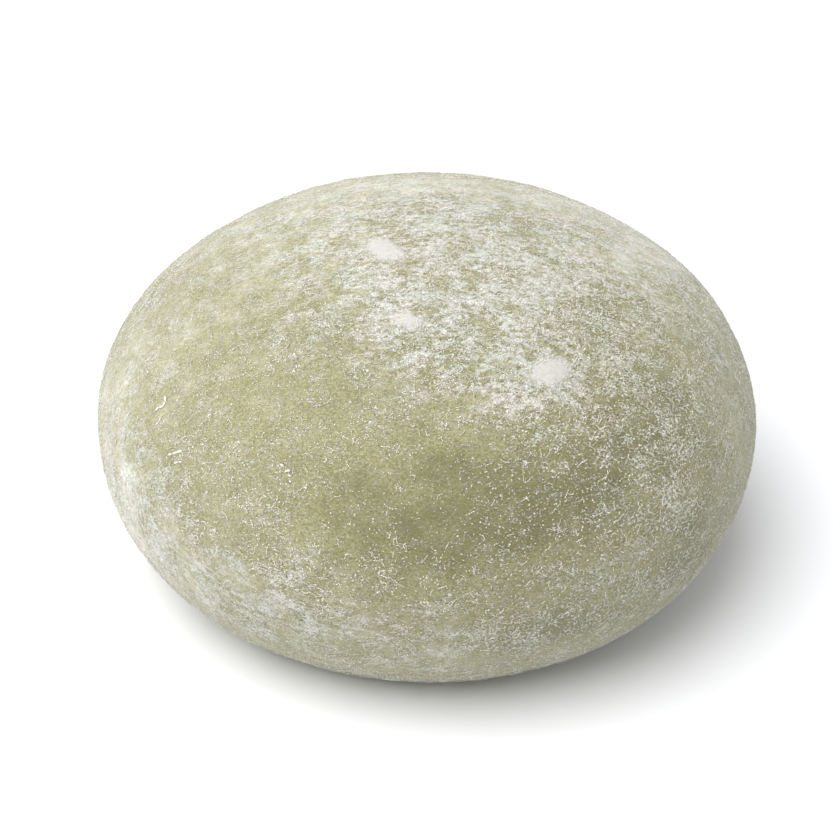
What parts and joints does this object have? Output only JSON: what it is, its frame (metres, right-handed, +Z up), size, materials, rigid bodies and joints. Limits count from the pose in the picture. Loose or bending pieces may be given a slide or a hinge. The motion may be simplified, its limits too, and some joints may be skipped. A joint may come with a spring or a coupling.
{
  "type": "mochi rice cake",
  "caption": "Squashed round mochi rice cake of pale green dough, dusted with white rice starch, resting on a small flat spot.",
  "frame": {"origin": "middle of the flat spot that the cake rests on, at ground level", "axes": "+Z up through the crown, -Y to the front, +X to the right seen from the front"},
  "size_m": [0.061, 0.059, 0.0324],
  "materials": {
    "mochi_dough": "soft green rice dough with a matt dusting of white starch"
  },
  "bodies": {
    "root": {"mochi": "mochi_dough"}
  },
  "joints": []
}
